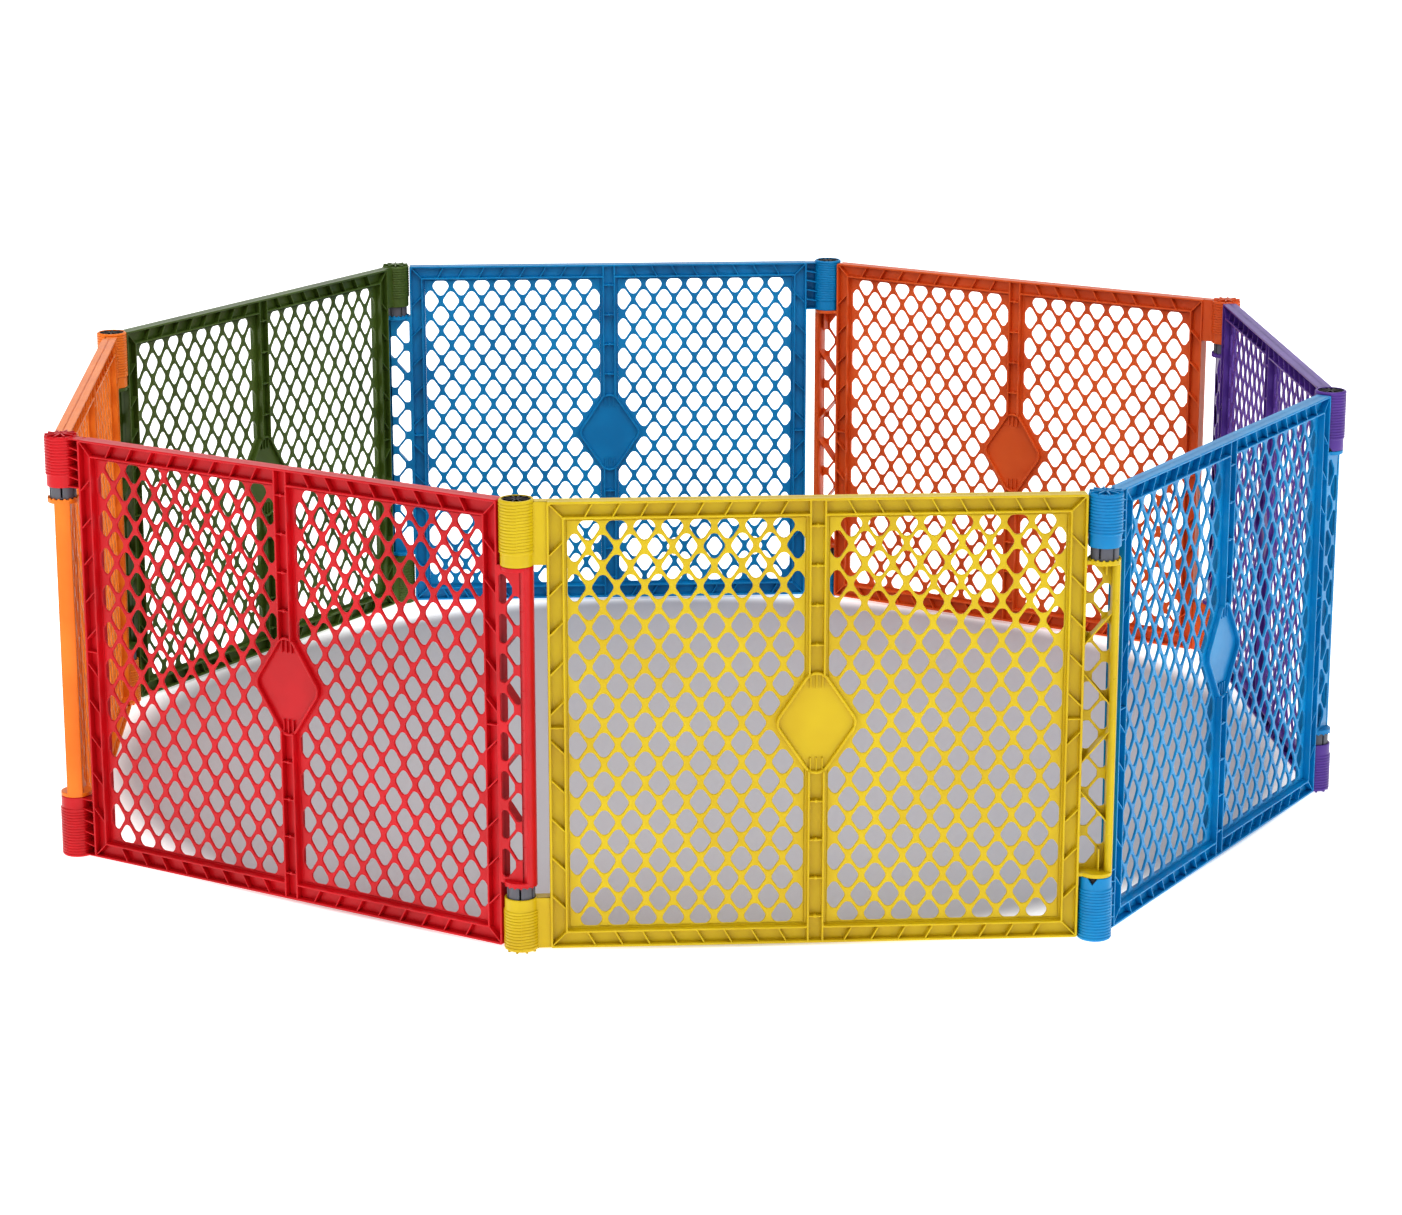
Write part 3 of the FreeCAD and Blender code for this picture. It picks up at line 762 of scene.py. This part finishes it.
# %% [markdown]
# ## Colours and plastics
# The panels are polyethylene, coloured through and injection moulded. Polyethylene is a
# little waxy: it lets some light in, so its thin walls glow softly, and its gloss is broad
# and satin. The flow of the melt leaves faint cloudy changes in colour and gloss, and the
# mould's skin leaves a fine pebble that only shows as a soft break-up of the highlights.
# The pivots are nylon with a drier surface. Colours are sRGB values turned linear.

# %% Colours
def linear(code):
    """An sRGB hex colour as a linear one."""
    parts = [int(code[i:i + 2], 16) / 255 for i in (1, 3, 5)]
    return [p / 12.92 if p <= 0.04045 else ((p + 0.055) / 1.055) ** 2.4 for p in parts] + [1.0]


PLASTICS = {"red": ("#C61420", "#B20E18"), "yellow": ("#C8AF12", "#BFA20D"),
            "blue": ("#0086BE", "#0076AE"), "purple": ("#5C3A92", "#4E2F82"),
            "coral": ("#DA6026", "#CC521E"), "green": ("#4E6426", "#42561E"),
            "orange": ("#EA8024", "#DE7218"), "grey": ("#62636A", "#565760"),
            "black": ("#1B191D", "#131216")}
SLOT_OF = {"red": "red", "yellow": "yellow", "blue_front": "blue", "purple": "purple",
           "orange_back": "coral", "blue_back": "blue", "green": "green", "orange_left": "orange"}
print("plastics", ", ".join(PLASTICS))

# %% [markdown]
# ## The node helper
# One small function adds a node, sets its inputs and links it. Every pattern below is read
# from object coordinates in metres, so a pattern's scale is one over its size in metres.

# %% Node helper
def add_node(material, kind, settings=None, inputs=None, links=None):
    """Adds a node: settings are its own properties, inputs its values, links its sockets' sources."""
    tree = material.node_tree
    node = tree.nodes.new(kind)
    for key, value in (settings or {}).items():
        setattr(node, key, value)
    for key, value in (inputs or {}).items():
        node.inputs[key].default_value = value
    for key, source in (links or {}).items():
        tree.links.new(source, node.inputs[key])
    return node


# %% [markdown]
# ## Moulded polyethylene and nylon
# Three patterns are enough. A cloud about 120 mm across mixes the two near colours. A finer
# one of about 9 mm moves the roughness up and down. A pebble of 0.9 mm, drawn coarser than
# the real 0.2 mm so that it shows, bumps the surface by a few hundredths of a millimetre.

# %% Plastics
CLOUD, FLOW, PEBBLE = 0.120, 0.009, 0.0009


def moulded_plastic(name, light, dark, rough, waxy):
    material = bpy.data.materials.new(name)
    material.use_nodes = True
    shader = material.node_tree.nodes["Principled BSDF"]
    link = material.node_tree.links.new
    place = add_node(material, "ShaderNodeTexCoord").outputs["Object"]
    cloud = add_node(material, "ShaderNodeTexNoise", inputs={"Scale": 1 / CLOUD, "Detail": 3.0},
                     links={"Vector": place})
    ramp = add_node(material, "ShaderNodeValToRGB", links={"Fac": cloud.outputs["Fac"]})
    ramp.color_ramp.elements[0].position, ramp.color_ramp.elements[0].color = 0.35, linear(dark)
    ramp.color_ramp.elements[1].position, ramp.color_ramp.elements[1].color = 0.65, linear(light)
    flow = add_node(material, "ShaderNodeTexNoise", inputs={"Scale": 1 / FLOW, "Detail": 2.0},
                    links={"Vector": place})
    gloss = add_node(material, "ShaderNodeMapRange", inputs={"To Min": rough - 0.05, "To Max": rough + 0.07},
                     links={"Value": flow.outputs["Fac"]})
    pebble = add_node(material, "ShaderNodeTexNoise", inputs={"Scale": 1 / PEBBLE, "Detail": 1.0},
                      links={"Vector": place})
    bump = add_node(material, "ShaderNodeBump", inputs={"Strength": 0.12, "Distance": 0.00012},
                    links={"Height": pebble.outputs["Fac"]})
    link(ramp.outputs["Color"], shader.inputs["Base Color"])
    link(gloss.outputs["Result"], shader.inputs["Roughness"])
    link(bump.outputs["Normal"], shader.inputs["Normal"])
    shader.inputs["IOR"].default_value = 1.51
    shader.inputs["Specular IOR Level"].default_value = 0.3
    shader.inputs["Subsurface Weight"].default_value = waxy
    shader.inputs["Subsurface Radius"].default_value = (1.0, 0.8, 0.6)
    shader.inputs["Subsurface Scale"].default_value = 0.002
    return material


materials = {}
for name, (light, dark) in PLASTICS.items():
    nylon = name in ("grey", "black")
    materials[name] = moulded_plastic(("moulded_nylon_" if nylon else "moulded_polyethylene_") + name,
                                      light, dark, 0.46 if nylon else 0.34, 0.0 if nylon else 0.08)
print("materials", len(materials))

# %% [markdown]
# ## Putting the panels up
# The same meshes serve all eight panels. Each copy gets its panel's matrix and colour, rides
# on its panel's body or its pivots' body, and stands for the CAD node of the same name.
# Weighted normals keep the flat faces flat and let only the rounded edges catch the light.

# %% Panels
def put_up(panel, kind):
    colour = {"collar": "grey", "pin": "black"}.get(kind, SLOT_OF[panel])
    node = "%s_%s" % (panel, kind)
    mesh = meshes[kind].copy()
    mesh.transform(places[panel])
    mesh.materials.append(materials[colour])
    piece = bpy.data.objects.new(node + "_moulded", mesh)
    bpy.context.scene.collection.objects.link(piece)
    weighted = piece.modifiers.new("flat faces", "WEIGHTED_NORMAL")
    weighted.keep_sharp, weighted.weight = True, 80
    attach(piece, next(body for body, nodes in frame["record"]["behaviour"]["bodies"].items()
                        if node in nodes))
    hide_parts(node)
    return piece


pieces = [put_up(panel, kind) for panel in PANELS for kind in meshes]
print("pieces", len(pieces), "faces", sum(len(piece.data.polygons) for piece in pieces))

# %% [markdown]
# ## Floor
# The yard stands on pale paper. Inside the ring the paper is painted light grey, as painted
# shade of the ring's inside, and outside it runs into plain white, as in a catalogue. The grey
# fades out under the panels, where a circle through the corners lies. The paper's white is
# helped by painted light: outside the ring the paper glows a little, though it is no lamp.

# %% Floor
def paper():
    material = bpy.data.materials.new("pale_paper_painted_shade_and_glow")
    material.use_nodes = True
    shader = material.node_tree.nodes["Principled BSDF"]
    link = material.node_tree.links.new
    place = add_node(material, "ShaderNodeTexCoord").outputs["Object"]
    reach = add_node(material, "ShaderNodeVectorMath", {"operation": "LENGTH"}, links={0: place})
    shade_and_glow_fade = add_node(material, "ShaderNodeMapRange", {"interpolation_type": "SMOOTHSTEP"},
                    {"From Min": 0.93, "From Max": 1.05}, {"Value": reach.outputs["Value"]})
    ramp = add_node(material, "ShaderNodeValToRGB", links={"Fac": shade_and_glow_fade.outputs["Result"]})
    # Painted shade: the floor is grey inside the ring and fades to white outside it.
    ramp.color_ramp.elements[0].color = linear("#B9B7BB")
    ramp.color_ramp.elements[1].color = linear("#FAFAFA")
    # Painted light: the floor outside the ring glows, though it is no lamp.
    painted_glow = add_node(material, "ShaderNodeMath", {"operation": "MULTIPLY"}, {1: 0.8},
                    {0: shade_and_glow_fade.outputs["Result"]})
    link(ramp.outputs["Color"], shader.inputs["Base Color"])
    link(painted_glow.outputs["Value"], shader.inputs["Emission Strength"])
    shader.inputs["Emission Color"].default_value = linear("#FFFFFF")
    shader.inputs["Roughness"].default_value = 0.8
    return material


floor_mesh = bpy.data.meshes.new("floor")
floor_mesh.from_pydata([(-30, -30, 0), (30, -30, 0), (30, 30, 0), (-30, 30, 0)], [], [(0, 1, 2, 3)])
floor_mesh.materials.append(paper())
floor = bpy.data.objects.new("floor", floor_mesh)
floor.location.z = cad_low.z - 0.0005
bpy.context.scene.collection.objects.link(floor)
print("floor at", round(floor.location.z, 4))

# %% [markdown]
# ## Light
# A white room gives soft light from everywhere, and a wide softbox overhead and one on each
# side in front shape it. The left one is the stronger, so that the ribs and pockets keep a
# dark side. A long weak one low behind the yard gives the sheen along the tops of the rails.

# %% Lights
def softbox(name, place, target, size, watts):
    data = bpy.data.lights.new(name, "AREA")
    data.shape, data.size, data.size_y, data.energy = "RECTANGLE", size[0], size[1], watts
    lamp = bpy.data.objects.new(name, data)
    lamp.location = place
    lamp.rotation_euler = (Vector(target) - Vector(place)).to_track_quat("-Z", "Y").to_euler()
    bpy.context.scene.collection.objects.link(lamp)
    return lamp


softbox("overhead", (0.2, -1.2, 4.2), (0, 0.3, 0), (4.5, 3.5), 92)
softbox("behind", (0.4, 6.5, 2.4), (0, 0, 0.6), (8, 2.2), 36)
softbox("front_left", (-7.5, -10.5, 5.5), (0, 0, 0.3), (6, 6), 205)
softbox("front_right", (7.5, -8.5, 4.5), (0, 0, 0.3), (5, 5), 95)
world = bpy.data.worlds.new("studio")
world.use_nodes = True
world.node_tree.nodes["Background"].inputs["Color"].default_value = linear("#FFFFFF")
world.node_tree.nodes["Background"].inputs["Strength"].default_value = 0.5
bpy.context.scene.world = world
bpy.context.scene.view_settings.view_transform = "Standard"
bpy.context.scene.view_settings.look = "Medium High Contrast"
